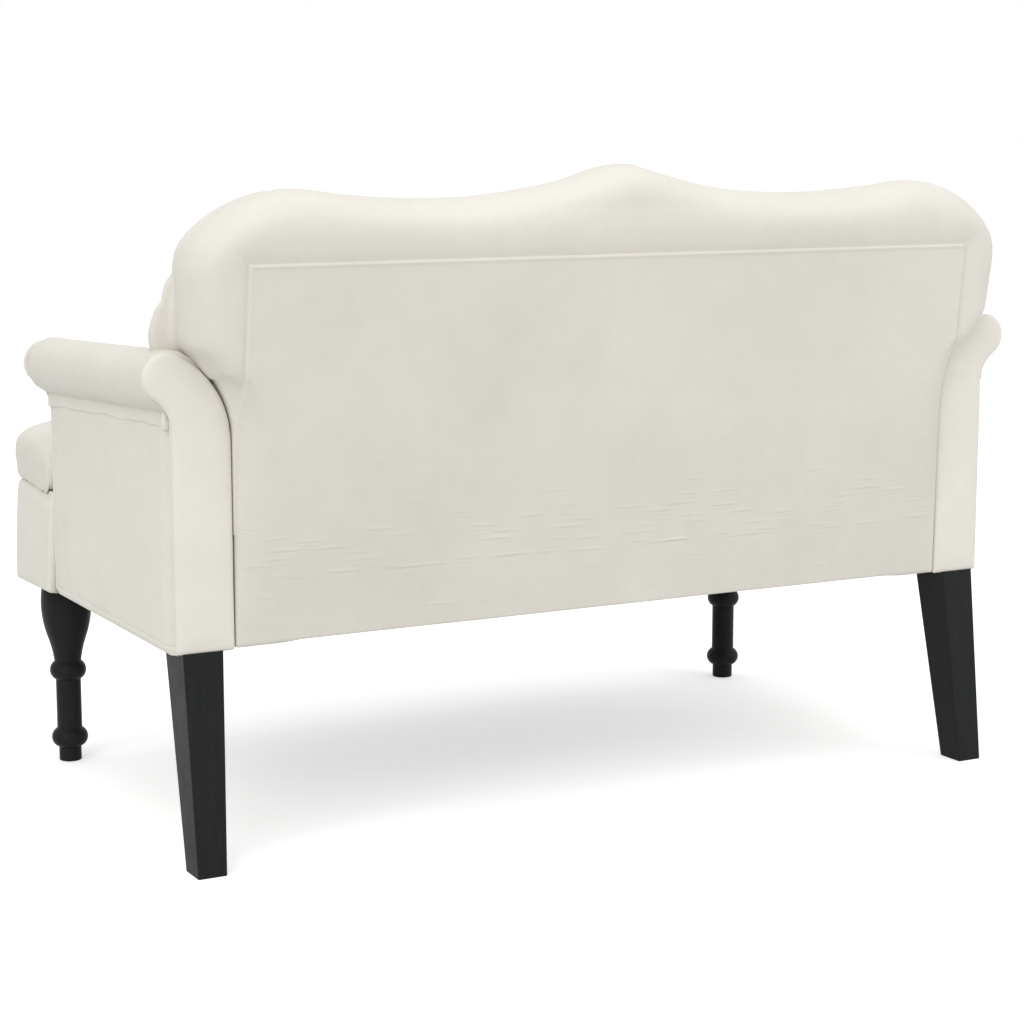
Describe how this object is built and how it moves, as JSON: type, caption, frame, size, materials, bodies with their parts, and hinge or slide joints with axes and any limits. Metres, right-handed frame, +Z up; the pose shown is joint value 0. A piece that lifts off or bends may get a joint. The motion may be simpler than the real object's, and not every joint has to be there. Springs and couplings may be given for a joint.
{
  "type": "upholstered bench",
  "caption": "Small upholstered settee bench with a camelback, scroll arms, a T-shaped seat cushion, turned front legs and raked square rear legs.",
  "frame": {"origin": "floor level under the middle of the bench", "axes": "+X to the sitter's left along the width, -Y to the front, +Z up"},
  "size_m": [1.133, 0.644, 0.7549],
  "materials": {
    "frame_wood": "raw sawn hardwood and plywood",
    "foam": "open-cell foam",
    "faux_leather": "matt cream, fine grain",
    "webbing": "woven elastic strap",
    "dust_cloth": "black non-woven cloth",
    "black_lacquer": "satin black lacquer",
    "zinc_steel": "bright zinc plate"
  },
  "bodies": {
    "root": {"front_rail": "frame_wood", "rear_rail": "frame_wood", "back_top_rail": "frame_wood", "back_lower_rail": "frame_wood", "back_tacking_rail": "frame_wood", "left_side_rail": "frame_wood", "right_side_rail": "frame_wood", "left_end_rail": "frame_wood", "right_end_rail": "frame_wood", "left_leg_block": "frame_wood", "right_leg_block": "frame_wood", "left_back_stile": "frame_wood", "right_back_stile": "frame_wood", "left_arm_rear_post": "frame_wood", "right_arm_rear_post": "frame_wood", "left_arm_front_post": "frame_wood", "right_arm_front_post": "frame_wood", "left_arm_top_rail": "frame_wood", "right_arm_top_rail": "frame_wood", "left_arm_lower_rail": "frame_wood", "right_arm_lower_rail": "frame_wood", "seat_foam": "foam", "back_foam": "foam", "left_arm_foam": "foam", "right_arm_foam": "foam", "seat_cover": "faux_leather", "front_border": "faux_leather", "back_cover": "faux_leather", "back_buttons": "faux_leather", "outside_back_panel": "faux_leather", "left_arm_cover": "faux_leather", "right_arm_cover": "faux_leather", "left_arm_hem_strip": "faux_leather", "right_arm_hem_strip": "faux_leather", "left_arm_outside_panel": "faux_leather", "right_arm_outside_panel": "faux_leather", "left_arm_rear_facing": "faux_leather", "right_arm_rear_facing": "faux_leather", "left_arm_front_facing": "faux_leather", "right_arm_front_facing": "faux_leather", "seat_webbing_long": "webbing", "seat_webbing_cross": "webbing", "back_webbing": "webbing", "dust_cover": "dust_cloth", "left_front_leg": "black_lacquer", "right_front_leg": "black_lacquer", "left_rear_leg": "black_lacquer", "right_rear_leg": "black_lacquer", "front_leg_bolts": "zinc_steel", "front_leg_nuts": "zinc_steel", "rear_leg_bolts": "zinc_steel", "arm_bolts": "zinc_steel", "arm_nuts": "zinc_steel", "back_bolts": "zinc_steel"}
  },
  "joints": []
}
